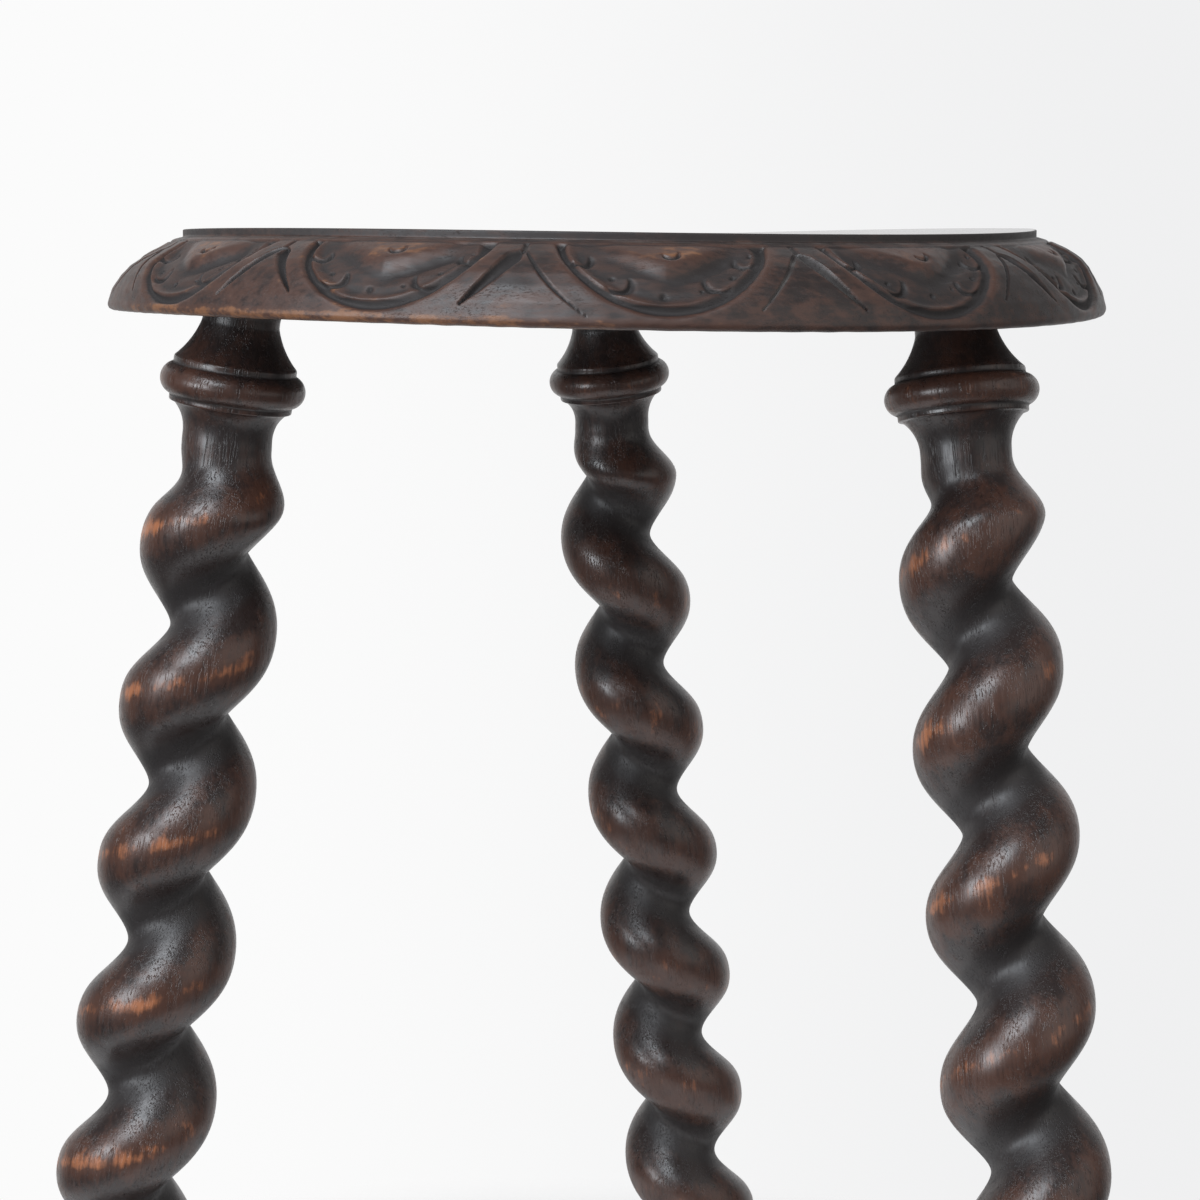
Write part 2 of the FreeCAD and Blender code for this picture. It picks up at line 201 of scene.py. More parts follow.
class StoolFinishSettings(bpy.types.PropertyGroup):
    """Colours and gloss of the stained and of the bare oak."""

    stain: colour("Stain", "Dark stain", (0.025, 0.0158, 0.0142))
    brown: colour("Brown", "Stain where it is thinner", (0.073, 0.0320, 0.0213))
    worn: colour("Worn", "Wood rubbed through the stain", (0.40, 0.145, 0.062))
    edge: colour("Edge", "Wood bared along the seat's lower edge", (0.24, 0.100, 0.040))
    # Colour of grime and of painted shade in the cuts, hollows, coves and under the seat; pores
    # take it too
    grime_and_shade: colour("Grime", "Old wax and dirt in the hollows", (0.0190, 0.0150, 0.0148))
    dust: colour("Dust", "Dry dust in the cuts", (0.14, 0.13, 0.12))
    seat_roughness: share("Seat roughness", "Roughness of the seat's old wax", 0.48)
    leg_roughness: share("Leg roughness", "Roughness of the rubbed legs", 0.31)
    bare: colour("Bare oak", "Oak of the hidden pins", (0.42, 0.28, 0.15))


class StoolStageSettings(bpy.types.PropertyGroup):
    """Camera, lamps and floor."""

    camera_place: FloatVectorProperty(
        name="Camera", description="Place of the camera", default=(0.0125, -0.8834, 0.4540),
        subtype="XYZ",
    )
    camera_yaw: angle("Yaw", "How far the camera looks to its left", 0.117)
    camera_pitch: angle("Pitch", "How far the camera looks down", 7.837)
    camera_roll: angle("Roll", "How far the camera leans", 0.589)
    camera_lens: setting("Lens", "Focal length", 83.65, unit="CAMERA")
    floor_radius: length("Floor", "Radius of the floor", 3000.0)
    floor_fade_start: length("Fade start", "Where the floor starts to fade", 260.0)
    floor_fade_end: length("Fade end", "Where the floor has faded", 400.0)
    window_power: power("Window", "Lamp at the left", 37.0)
    sill_power: power("Sill", "Low lamp at the left", 23.0)
    fill_power: power("Fill", "Lamp at the right", 6.0)
    sky_level: share("Sky", "Light from all round", 0.40)
    room_level: share("Room", "How bright the room behind the camera is mirrored", 0.10)


class StoolSettings(bpy.types.PropertyGroup):
    """Everything that can be set on the stool."""

    seat: PointerProperty(type=StoolSeatSettings)
    leg: PointerProperty(type=StoolLegSettings)
    finish: PointerProperty(type=StoolFinishSettings)
    stage: PointerProperty(type=StoolStageSettings)


def ease(value, low, high):
    """Smooth rise from 0 at low to 1 at high."""
    part = np.clip((value - low) / (high - low), 0.0, 1.0)
    return part * part * (3 - 2 * part)


def plateau(value, low, full, tail, end):
    """Smooth rise from 0 at low to 1 at full, and fall from 1 at tail to 0 at end."""
    return ease(value, low, full) * (1 - ease(value, tail, end))


def bell(value, width, middle=0.0):
    """Smooth bump that is 1 at its middle."""
    return np.exp(-(((value - middle) / width) ** 2))


def bowed(start, end, bulge, steps=24):
    """Points of the arc from start to end that stands off their chord by the bulge, outwards if
    positive."""
    start, end = np.array(start), np.array(end)
    chord = end - start
    half = np.linalg.norm(chord) / 2
    away = np.array([chord[1], -chord[0]]) / (2 * half)
    spots = np.linspace(-1, 1, steps)
    radius = (half * half + bulge * bulge) / (2 * abs(bulge))
    rises = np.sqrt(radius**2 - (spots * half) ** 2) - (radius - abs(bulge))
    return [
        tuple((start + end) / 2 + chord / 2 * spot + away * math.copysign(rise, bulge))
        for spot, rise in zip(spots, rises)
    ]


FINE_STEPS = 4


def worn_outline(points, spacing, softness):
    """Outline through the points at an even spacing, its corners rubbed round over the softness."""
    points = np.array(points)
    runs = distances(points)
    fine = spacing / FINE_STEPS
    along = np.linspace(0, runs[-1], max(int(runs[-1] / fine), 8))
    line = np.stack([np.interp(along, runs, points[:, k]) for k in range(2)], axis=1)
    reach = max(int(3 * softness / fine), 1)
    weights = np.exp(-0.5 * (np.arange(-reach, reach + 1) * fine / softness) ** 2)
    weights /= weights.sum()
    before = 2 * line[0] - line[reach:0:-1]
    after = 2 * line[-1] - line[-2:-reach - 2:-1]
    padded = np.concatenate([before, line, after])
    soft = np.stack([np.convolve(padded[:, k], weights, "valid") for k in range(2)], axis=1)
    return soft[::FINE_STEPS]


def distances(points):
    """Distance of each point from the first, along the line through them."""
    return np.concatenate([[0], np.cumsum(np.linalg.norm(np.diff(points, axis=0), axis=1))])


def uneven(around, along, seed, count, low, high):
    """Seeded unevenness between about -1 and 1 over two coordinates, whole turns around."""
    draw = np.random.default_rng(seed)
    numbers = draw.uniform(low, high, (count, 2)) * draw.choice([-1, 1], (count, 2))
    phases = draw.uniform(0, 2 * np.pi, count)
    total = np.zeros(np.broadcast(around, along).shape)
    for (turns, rate), phase in zip(numbers, phases):
        total += np.sin(np.round(turns) * around + rate * along + phase)
    return total / math.sqrt(count)


def add_object(name, data):
    """Object in the scene."""
    made = bpy.data.objects.new(name, data)
    bpy.context.scene.collection.objects.link(made)
    return made


def edge_keys(pairs):
    """One number for each edge, whichever way round its two ends are."""
    pairs = np.sort(pairs.astype(np.int64), axis=1)
    return (pairs[:, 0] << 32) + pairs[:, 1]


def add_mesh(name, points, faces, flat_faces, **values):
    """Object of a mesh with smooth faces, flat closing faces, and values stored at its points."""
    loops = np.concatenate([face.ravel() for face in faces + flat_faces])
    totals = np.concatenate([np.full(len(face), face.shape[1]) for face in faces + flat_faces])
    starts = np.concatenate([[0], np.cumsum(totals)[:-1]])
    mesh = bpy.data.meshes.new(name)
    mesh.vertices.add(len(points))
    mesh.vertices.foreach_set("co", points.astype(np.float32).ravel())
    mesh.loops.add(len(loops))
    mesh.loops.foreach_set("vertex_index", loops.astype(np.int32))
    mesh.polygons.add(len(totals))
    mesh.polygons.foreach_set("loop_start", starts.astype(np.int32))
    mesh.polygons.foreach_set("loop_total", totals.astype(np.int32))
    smooth = np.ones(len(totals), bool)
    smooth[len(totals) - sum(len(face) for face in flat_faces):] = False
    mesh.polygons.foreach_set("use_smooth", smooth)
    mesh.update(calc_edges=True)
    ends = np.empty(2 * len(mesh.edges), np.int32)
    mesh.edges.foreach_get("vertices", ends)
    sides = np.concatenate([
        np.stack([face, np.roll(face, -1, axis=1)], axis=-1).reshape(-1, 2) for face in flat_faces
    ])
    around_flat = np.isin(edge_keys(ends.reshape(-1, 2)), edge_keys(sides))
    mesh.edges.foreach_set("use_edge_sharp", around_flat)
    for key, value in values.items():
        kind, field = ("FLOAT_VECTOR", "vector") if value.ndim == 2 else ("FLOAT", "value")
        layer = mesh.attributes.new(key, kind, "POINT")
        layer.data.foreach_set(field, value.astype(np.float32).ravel())
    if mesh.validate():
        raise RuntimeError(f"{name}: the mesh has faults")
    return add_object(name, mesh)


def strips(counts, closed):
    """Faces between rows of points, where a row may have half or twice the cells of the next."""
    quads, triangles = [], []
    extra = 0 if closed else 1
    starts = np.concatenate([[0], np.cumsum([count + extra for count in counts])])
    for row, (count, after) in enumerate(zip(counts, counts[1:])):
        here, there = starts[row], starts[row + 1]
        if count == after:
            cell = np.arange(count)
            following = (cell + 1) % count if closed else cell + 1
            corners = (here + cell, there + cell, there + following, here + following)
            quads.append(np.stack(corners, axis=1))
            continue
        coarse = np.arange(min(count, after))
        few, many = (here, there) if count < after else (there, here)
        corners = [
            (few + coarse, many + 2 * coarse, many + 2 * coarse + 1),
            (few + coarse, many + 2 * coarse + 1, few + coarse + 1),
            (few + coarse + 1, many + 2 * coarse + 1, many + 2 * coarse + 2),
        ]
        for corner in corners:
            order = corner if count < after else corner[::-1]
            triangles.append(np.stack(order, axis=1))
    return [np.concatenate(kind) for kind in (quads, triangles) if kind]


# Rim of the seat: out from the table's edge and below the table, in shares of the rim's width
RIM_OUTLINE = (
    (0.0, 0.1022), (0.04, 0.1067), (0.178, 0.1467), (0.289, 0.189), (0.4, 0.24), (0.511, 0.302),
    (0.622, 0.373), (0.733, 0.473), (0.84, 0.613), (0.945, 0.791), (0.995, 0.97),
)
RIM_CELLS = 1280
RIM_SPACING, RIM_SOFTNESS = 0.36 * MM, 0.22 * MM
CARVING_SEED = 7
CARVING_RADIUS = 146 * MM
# Down the rim: end of the plain band at its top, and where the carving runs out
PLAIN_TOP = 3.9 * MM
CARVING_END = (30.6 * MM, 31.6 * MM)
# Groove round a lunette: its steep outer wall, its inner wall at the left, and how much wider
# that gets towards the right
OUTER_WALL, INNER_WALL, INNER_WIDENING = 1.05, 1.5, 1.9
LOBE_HALF_WIDTH, LOBE_DROP, LOBE_POWER = 19.5 * MM, 14.8 * MM, 1.4
# Crescents, dots and the nick in the lobe: across from the lunette's middle, down the rim and
# radius, in millimetres
EYES = ((-23.0, 10.4, 2.9), (-13.5, 19.6, 3.7), (14.0, 19.6, 3.8), (23.0, 10.2, 3.1))
DOTS = (
    (-15.0, 19.4, 0.6), (17.0, 17.4, 0.6), (25.0, 8.8, 0.6), (-1.5, 24.2, 0.75), (8.2, 22.0, 0.45)
)
NICK = (2.2, 8.4, 2.3)
EYE_WIDTH, NICK_WIDTH = 1.05 * MM, 0.8 * MM
DOT_DEPTH = 0.9 * MM
# Slots left and right of each joint between lunettes: half width and reach in millimetres, and
# how dusty they are
SLOTS = (
    ((3.2, 14.5, 0.0), (0.8, 18.0, 0.2)), ((0.9, 14.5, 1.0), (2.5, 14.5, 0.6)),
    ((0.8, 13.0, 0.3), (2.6, 14.0, 0.0)), ((2.2, 14.0, 0.2), (1.2, 15.0, 0.5)),
    ((1.4, 14.0, 0.0), (2.0, 13.0, 0.4)), ((2.4, 14.0, 0.3), (0.8, 16.0, 0.0)),
    ((1.8, 13.0, 0.0), (1.8, 14.0, 0.5)), ((1.0, 14.0, 0.6), (2.2, 13.5, 0.0)),
    ((2.2, 14.5, 0.2), (1.0, 15.0, 0.3)), ((1.6, 14.0, 0.0), (1.6, 13.0, 0.2)),
    ((1.8, 14.5, 0.4), (1.4, 14.0, 0.0)), ((2.0, 14.0, 0.0), (2.4, 13.0, 0.1)),
)
SLOT_START = (0.9 * MM, 9.5 * MM)
SLOT_SLOPE, SLOT_LOWEST = 1.32, 30.8 * MM
SLOT_BOW, LONG_SLOT, LONG_SLOT_BOW = 0.9 * MM, 14 * MM, 0.35
FULL_SLOT = 2 * MM
JOINT_DEPTH, JOINT_WIDTH = 0.8 * MM, 0.65 * MM


class Carving(NamedTuple):
    """Carving over the rows and turns of the rim."""

    depth: np.ndarray
    crown: np.ndarray  # how far a spot lies on a lobe or a strap
    between: np.ndarray  # how far it lies between lunettes
    cut: np.ndarray  # how far it lies in a cut that is darkened as painted shade
    dust: np.ndarray  # how dusty the slot there is


def crescent(across, down, radius, heading, cut_width):
    """Share of a crescent cut's depth: an arc round a spot, deepest where it heads, with a steep
    inner wall."""
    away = np.hypot(across, down)
    turn = np.cos(np.arctan2(down, across) - heading)
    width = cut_width * (0.45 + 0.55 * ease(turn, -0.2, 1.0))
    inner = bell(away, 0.42 * width, radius)
    outer = bell(away, 1.15 * width, radius)
    return np.where(away < radius, inner, outer) * ease(turn, -0.15, 0.75)


def leaf_cut(across, down, start, end, half_width, bow):
    """Share of the depth of a leaf-shaped gouge cut that tapers from start to end, bowed to one
    side."""
    run_across, run_down = end[0] - start[0], end[1] - start[1]
    size = np.hypot(run_across, run_down)
    along = ((across - start[0]) * run_across + (down - start[1]) * run_down) / size**2
    side = ((across - start[0]) * run_down - (down - start[1]) * run_across) / size
    side = side + bow * np.sin(np.pi * np.clip(along, 0, 1))
    width = half_width * (np.clip(1 - along, 0.0, 1.0) ** 0.75) * ease(along, -0.10, 0.16) + 1e-6
    place = np.clip(side / width, -1, 1)
    hollow = (1 - place**2) ** 0.8 * (0.75 + 0.25 * place)
    return np.where((along > -0.1) & (along < 1), hollow, 0.0)


def eye_cuts(across, down, jitters):
    """Share of the depth of the crescents in a lunette and of the nick in its lobe."""
    eyes = np.zeros(np.broadcast(across, down).shape)
    for (at, low, radius), jitter in zip(EYES, jitters):
        strength, heading = (1.0, 60) if at < 0 else (0.75, 120)
        eyes += strength * crescent(
            across - at * MM - 0.8 * jitter[0], down - low * MM - 0.6 * jitter[1],
            radius * MM + 0.4 * jitter[2], math.radians(heading), EYE_WIDTH,
        )
    at, low, radius = NICK
    eyes += 0.8 * crescent(
        across - at * MM - jitters[-1][0], down - low * MM - 0.5 * jitters[-1][1],
        radius * MM, math.radians(75), NICK_WIDTH,
    )
    return eyes


def slot_cuts(cell, from_joint, down, mark, seat):
    """Slots beside the joints between lunettes: share of their depth, depth, and dust."""
    rightward = cell > 0
    spandrel = np.where(rightward, mark + 1, mark) % seat.lunettes % len(SLOTS)
    sizes = np.array(SLOTS)[spandrel, np.where(rightward, 0, 1)]
    width, reach, dust = np.moveaxis(sizes, -1, 0)
    width, reach = width * MM, reach * MM
    end = (reach, np.minimum(SLOT_START[1] + SLOT_SLOPE * reach, SLOT_LOWEST))
    bow = SLOT_BOW + LONG_SLOT_BOW * np.clip(reach - LONG_SLOT, 0, None)
    slot = leaf_cut(from_joint, down, SLOT_START, end, width, bow)
    return slot, seat.slot_depth * slot * np.clip(width / FULL_SLOT, 0.4, 1), dust


def below_band(down):
    """1 below the plain band at the top of the rim, and 0 on it."""
    return ease(down, PLAIN_TOP - 0.5 * MM, PLAIN_TOP + 0.5 * MM)


def carve_lunettes(turn, down, seat):
    """Carving at turns round the seat and distances down the rim."""
    step = 2 * np.pi / seat.lunettes
    number = np.floor((turn - seat.lunette_turn) / step)
    mark = np.mod(number, seat.lunettes).astype(int)
    draw = np.random.default_rng(CARVING_SEED)
    shift, stretch, sink = (draw.uniform(-1, 1, seat.lunettes)[mark] for _ in range(3))
    jitters = draw.uniform(-1, 1, (len(EYES) + len(DOTS) + 1, 3, seat.lunettes))[:, :, mark] * MM
    cell = (turn - seat.lunette_turn - (number + 0.5) * step) * CARVING_RADIUS
    from_joint = step / 2 * CARVING_RADIUS - np.abs(cell)
    across = cell - 0.8 * MM * shift
    half_width = seat.lunette_half_width * (1 + 0.02 * stretch)
    drop = seat.lunette_drop * (1 + 0.025 * sink)
    oval = np.hypot(across / half_width, down / drop)
    off_groove = (oval - 1) * (half_width + drop) / 2

    inner_wall = INNER_WALL + INNER_WIDENING * ease(across, -18 * MM, 18 * MM)
    wall = np.where(off_groove > 0, OUTER_WALL, inner_wall) * MM
    groove = seat.groove_depth * np.exp(-np.abs(off_groove / wall) ** 1.9)
    inside = ease(-off_groove, 0.2 * MM, 4.5 * MM)
    low = np.clip((down - PLAIN_TOP) / LOBE_DROP, 0, None)
    lobe = np.abs(across / LOBE_HALF_WIDTH) ** LOBE_POWER + low**LOBE_POWER
    lobe = lobe ** (1 / LOBE_POWER)
    ground = seat.ground_depth * ease(lobe, 0.58, 1.04)
    ground += seat.scoop_depth * bell(lobe, 0.19, 1.08) * ease(across, -8 * MM, 9 * MM)
    ground *= 0.2 + 0.8 * ease(down, PLAIN_TOP, PLAIN_TOP + 8 * MM)
    depth = np.maximum(groove, ground * inside)

    for (at, dot_low, radius), jitter in zip(DOTS, jitters[len(EYES):]):
        away = np.hypot(across - at * MM - 0.9 * jitter[0], down - dot_low * MM - 0.7 * jitter[1])
        depth += DOT_DEPTH * bell(away, radius * MM)
    eyes = eye_cuts(across, down, jitters)
    depth += seat.eye_depth * eyes
    slot, slot_depth, slot_dust = slot_cuts(cell, from_joint, down, mark, seat)
    depth = np.maximum(depth, slot_depth)
    joint = JOINT_DEPTH * bell(from_joint, JOINT_WIDTH) * (1 - ease(down, 8 * MM, 13 * MM))
    depth = np.maximum(depth, joint)
    depth *= below_band(down)
    depth += 0.3 * MM * bell(down, 0.45 * MM, PLAIN_TOP)
    depth *= 1 - ease(down, *CARVING_END)

    strap = 0.45 * bell(off_groove, 1.8 * MM, 3 * MM) * (1 - ease(down, 22 * MM, 28 * MM))
    crown = np.maximum(strap, 1 - ease(lobe, 0.50, 0.95))
    crown = crown * ease(down, PLAIN_TOP, PLAIN_TOP + 2 * MM)
    between = ease(off_groove, 0.5 * MM, 4 * MM) * (1 - ease(down, 21 * MM, 27 * MM))
    in_slot = ease(slot, 0.1, 0.5)
    # Grooves, clean slots, crescents and the sunk ground by the lobe are later darkened: painted
    # shade in the cuts
    cut = ease(groove, 0.35 * seat.groove_depth, 0.9 * seat.groove_depth)
    cut = np.maximum(cut, in_slot * (1 - slot_dust))
    cut = np.maximum(cut, ease(eyes, 0.25, 0.8))
    cut = np.maximum(cut, 0.55 * inside * ease(lobe, 0.74, 1.08))
    return Carving(depth, crown, between, cut, in_slot * slot_dust)


def soften(field, rows, columns):
    """Mean of a field over a window of rows and columns, its ends held."""
    for axis, reach in ((0, rows), (1, columns)):
        padding = [(reach + 1, reach) if k == axis else (0, 0) for k in range(2)]
        total = np.cumsum(np.pad(field, padding, mode="edge"), axis=axis)
        window = 2 * reach + 1
        field = (np.take(total, range(window, total.shape[axis]), axis=axis)
                 - np.take(total, range(total.shape[axis] - window), axis=axis)) / window
    return field


def rim_section(seat):
    """Section of the seat from the table's edge to the underside: points out and down from that
    edge, and their distances down the rim."""
    width, thickness = seat.rim_width, SEAT_TOP - UNDERSIDE
    table = [(-1.4 * MM, 0.0), (0.0, 0.0)]
    moulding = [(out * width, low * width) for out, low in RIM_OUTLINE]
    lower = [
        (width, thickness - 1.6 * MM), (width - 0.45 * MM, thickness - 0.5 * MM),
        (width - 1.6 * MM, thickness), (width - 5 * MM, thickness),
    ]
    line = worn_outline(table + moulding + lower, RIM_SPACING, RIM_SOFTNESS)
    runs = distances(line)
    quirk = np.argmin(np.hypot(line[:, 0], line[:, 1] - seat.table_step))
    return line, runs - runs[quirk]


def rim_shape(turn, down, line, depth, seat):
    """Radius and height of the carved rim over its rows and turns, with what use has worn off."""
    slopes = np.gradient(line, axis=0)
    slopes /= np.linalg.norm(slopes, axis=1)[:, None]
    outward = np.stack([-slopes[:, 1], slopes[:, 0]], axis=1)
    if outward[len(line) // 2, 0] < 0:
        outward = -outward
    out, low = line[:, :1], line[:, 1:]
    chatter = uneven(turn, down / CARVING_RADIUS, seed=5, count=30, low=40, high=150)
    depth = depth + 0.04 * MM * chatter * ease(down, 2 * MM, 5 * MM)
    joint_line = np.zeros(turn.shape)
    joint_line[:, [0, -1]] = 0.10 * MM
    depth = depth + joint_line
    rightward = np.sin(turn)
    radius = SEAT_RADIUS - seat.rim_width + out - outward[:, :1] * depth
    radius -= seat.rounding * ease(down, 12 * MM, 24 * MM) * ease(rightward, 0.55, 0.97)
    height = SEAT_TOP - low + outward[:, 1:] * depth
    worn_low = plateau(down, 2 * MM, 8 * MM, 10 * MM, 26 * MM)
    height -= seat.sag * worn_low * ease(-rightward, 0.55, 0.95)
    hanging = ease(down, 22 * MM, 30 * MM) * (out > 0)
    height -= seat.droop * hanging * (1 - 0.6 * rightward**2)
    return radius, height


def rim_finish(turn, down, carving):
    """How worn, grimy and dusty the rim is over its rows and turns: painted shade in its cuts and
    hollows, painted light on its raised carving and towards its left.
    """
    cavity = carving.depth - soften(carving.depth, 4, 4)
    shaded_hollow = carving.depth - soften(carving.depth, 10, 10)
    patch = uneven(turn, down / CARVING_RADIUS, seed=11, count=24, low=12, high=90)
    on_rim = below_band(down)
    step = plateau(down, -2.6 * MM, -2.0 * MM, -0.5 * MM, 0.2 * MM)
    quirk = plateau(down, -0.2 * MM, 0.6 * MM, 0.9 * MM, 3.4 * MM)

    lower_edge = ease(down, 30.3 * MM, 31.9 * MM)
    facing = 0.22 + 0.78 * ease(np.cos(turn - math.radians(-30)), 0.72, 0.96)
    painted_light_left = np.cos(turn - math.radians(-45))
    wear = 0.25 + 0.44 * lower_edge * facing
    wear = wear + 0.16 * np.clip(-cavity / (0.30 * MM), 0, 1) + 0.07 * patch
    # Lobes and straps are lighter: partly wear, partly painted light on the raised carving. The rim
    # is painted lighter towards its lit front-left and darker towards its back-right: painted light
    # and shade
    wear += 0.32 * carving.crown - 0.14 * carving.between + 0.19 * painted_light_left
    # Sunk ground darkened: painted shade in the wide hollows of the carving
    wear -= 0.5 * np.clip(shaded_hollow / (0.6 * MM), 0, 1)
    wear -= 0.2 * step

    # Cuts and small hollows darkened: painted shade, with some grime; the step below the table is
    # darkened too
    grime_and_shade = 0.95 * carving.cut * on_rim + 0.4 * np.clip(cavity / (0.45 * MM), 0, 1)
    grime_and_shade += 0.5 * step

    dust = 0.8 * np.clip(cavity / (0.40 * MM), 0, 1) * (1 - carving.cut)
    dust = dust + 1.4 * carving.dust * on_rim
    dust += quirk
    dust += step * (0.10 + 0.45 * ease(-np.sin(turn), 0.0, 0.7))
    return wear, grime_and_shade, dust


def warp_board(points, seat):
    """Winds, dishes, tilts and tapers the points of a board."""
    table_radius = SEAT_RADIUS - seat.rim_width
    aside, back = points[:, 0] / table_radius, points[:, 1] / table_radius
    raised = (points[:, 2] - UNDERSIDE) / (SEAT_TOP - UNDERSIDE)
    rear, front = np.clip(back, 0, None), np.clip(back, None, 0)
    points[:, 2] += aside * (seat.warp * front + seat.rear_warp * rear) - seat.rear_drop * rear
    points[:, 2] -= seat.dish * np.clip(1 - aside**2 - back**2, 0, 1) * ease(raised, 0.5, 1.0)
    points[:, 2] += math.tan(seat.tilt) * points[:, 0] + seat.taper * aside * raised


def board_faces(counts):
    """Faces of a board of half rings with two middle points after them, and its glue face."""
    faces = strips(counts, closed=False)
    starts = np.concatenate([[0], np.cumsum([count + 1 for count in counts])])
    above, below = starts[-1], starts[-1] + 1
    first, last = np.arange(counts[0]), starts[-2] + np.arange(counts[-1])
    faces.append(np.stack([np.full(counts[0], above), first, first + 1], axis=1))
    faces.append(np.stack([np.full(counts[-1], below), last + 1, last], axis=1))
    left_edge, right_edge = starts[:-1], starts[1:] - 1
    return faces, np.concatenate([[above], right_edge, [below], left_edge[::-1]])[None, :]


# Rings of points on the table and the underside: radius in millimetres, and cells
TABLE_RINGS = ((8, 10), (18, 20), (34, 40), (56, 80), (82, 160), (106, 320), (120, 640))
UNDERSIDE_RINGS = ((132, 640), *TABLE_RINGS[-2::-1])
# Wear, grime with painted shade, dust and polish there
TABLE_FINISH = (0.36, 0.12, 0.0, 1.0)
UNDERSIDE_FINISH = (0.1, 0.45, 0.15, 0.0)
GRAIN_OFFSET = 0.31


def make_seat_board(name, first_turn, seat):
    """Half of the seat, carved, from its middle over the table and the rim to its middle below."""
    line, runs = rim_section(seat)
    down = runs[:, None]
    turns = first_turn + np.pi * np.arange(RIM_CELLS + 1) / RIM_CELLS
    carving = carve_lunettes(turns[None, :], down, seat)
    carving = carving._replace(depth=carving.depth * (down > 0.6 * MM))
    radius, height = rim_shape(turns[None, :], down, line, carving.depth, seat)
    wear, grime_and_shade, dust = rim_finish(turns[None, :], down, carving)
    polish = ease(-down, 2.2 * MM, 2.7 * MM)
    counts, parts = [], []

    def ring(ring_radius, ring_height, count, values):
        spots = np.linspace(0, RIM_CELLS, count + 1).astype(int)
        away, *rest = (
            np.broadcast_to(value, turns.shape)[spots]
            for value in (ring_radius, ring_height, *values)
        )
        counts.append(count)
        parts.append(np.column_stack([
            away * np.sin(turns[spots]), -away * np.cos(turns[spots]), *rest
        ]))

    for ring_radius, count in TABLE_RINGS:
        ring(ring_radius * MM, SEAT_TOP, count, TABLE_FINISH)
    for row in range(len(line)):
        ring(radius[row], height[row], RIM_CELLS, (wear[row], grime_and_shade[row], dust[row], polish[row]))
    for ring_radius, count in UNDERSIDE_RINGS:
        ring(ring_radius * MM, UNDERSIDE, count, UNDERSIDE_FINISH)
    middle = [[0, 0, SEAT_TOP, *TABLE_FINISH], [0, 0, UNDERSIDE, *UNDERSIDE_FINISH]]
    table = np.concatenate(parts + [np.array(middle)])
    warp_board(table, seat)
    aside, back, up, *finish = table.T
    faces, glue_face = board_faces(counts)
    return add_mesh(
        name, table[:, :3] + np.array([*SEAT_AXIS, 0]), faces, [glue_face],
        grain=np.stack([up - UNDERSIDE, back + GRAIN_OFFSET, aside], axis=1),
        **dict(zip(("wear", "grime_and_shade", "dust", "polish"), finish)),
    )


LEG_CELLS = 144
TURNED_SPACING, TURNED_SOFTNESS = 0.4 * MM, 0.28 * MM
TWIST_SPACING = 1.1 * MM
SHOULDER = -2.5 * MM
FLOOR_OVERRUN = 6 * MM
# Lengths over which a rasp and a knife leave the twist uneven
RASP_LENGTH, KNIFE_LENGTH = 40 * MM, 14 * MM


def collar_outline(leg, middle):
    """Half-round and the fillet below it: radius, and distance down the leg."""
    half = leg.collar_height / 2
    reach = half + leg.fillet_height
    upper, lower = (leg.fillet_radius, middle - half), (leg.fillet_radius, middle + half)
    return [upper, *bowed(upper, lower, leg.collar_bulge), (leg.fillet_radius, middle + reach)]


def head_outline(leg, drop):
    """Outline of a leg's head from its tenon to the neck: radius, and distance down the leg."""
    reach = leg.collar_height / 2 + leg.fillet_height
    flare = (leg.throat_radius, drop - reach - leg.flare_height)
    cove = (leg.fillet_radius - leg.fillet_step, drop + reach)
    neck = (leg.neck_radius, drop + reach + leg.cove_height)
    return [
        (leg.tenon_radius, -leg.tenon_length), (leg.tenon_radius, SHOULDER),
        (leg.throat_radius, SHOULDER), flare,
        *bowed(flare, (leg.fillet_radius, drop - reach), -leg.flare_hollow),
        *collar_outline(leg, drop),
        cove, *bowed(cove, neck, -leg.cove_hollow),
        (leg.neck_radius, neck[1] + leg.neck_length),
    ]


def foot_outline(leg, floor):
    """Outline of a leg's foot from the neck to below the floor: radius, and distance down the
    leg."""
    reach = leg.collar_height / 2 + leg.fillet_height
    ankle = floor - leg.bun_height
    collar = ankle - leg.ankle_rise - reach
    neck = (leg.neck_radius, collar - reach - leg.cove_height)
    cove = (leg.fillet_radius - leg.fillet_step, collar - reach)
    sole = (leg.sole_radius, floor + FLOOR_OVERRUN)
    return [
        (leg.neck_radius, neck[1] - leg.neck_length), *bowed(neck, cove, -leg.cove_hollow),
        (leg.fillet_radius, collar - reach), *collar_outline(leg, collar),
        *bowed((leg.ankle_radius, ankle), sole, leg.bun_bulge, 48),
    ]


def leg_matrix(stance, leg):
    """Place of a leg: its axis meets the seat's underside at the socket and leans outwards."""
    circle = SEAT_RADIUS - bpy.context.scene.stool.seat.rim_width - leg.socket_inset
    bearing = math.radians(stance.bearing)
    lean_bearing = math.radians(stance.bearing + stance.swing)
    axis = Vector((math.sin(lean_bearing), -math.cos(lean_bearing), 0))
    place = (
        SEAT_AXIS[0] + leg.circle_x + circle * math.cos(bearing),
        SEAT_AXIS[1] + leg.circle_y + circle * math.sin(bearing),
        UNDERSIDE,
    )
    return Matrix.Translation(place) @ Matrix.Rotation(math.radians(stance.lean), 4, axis)


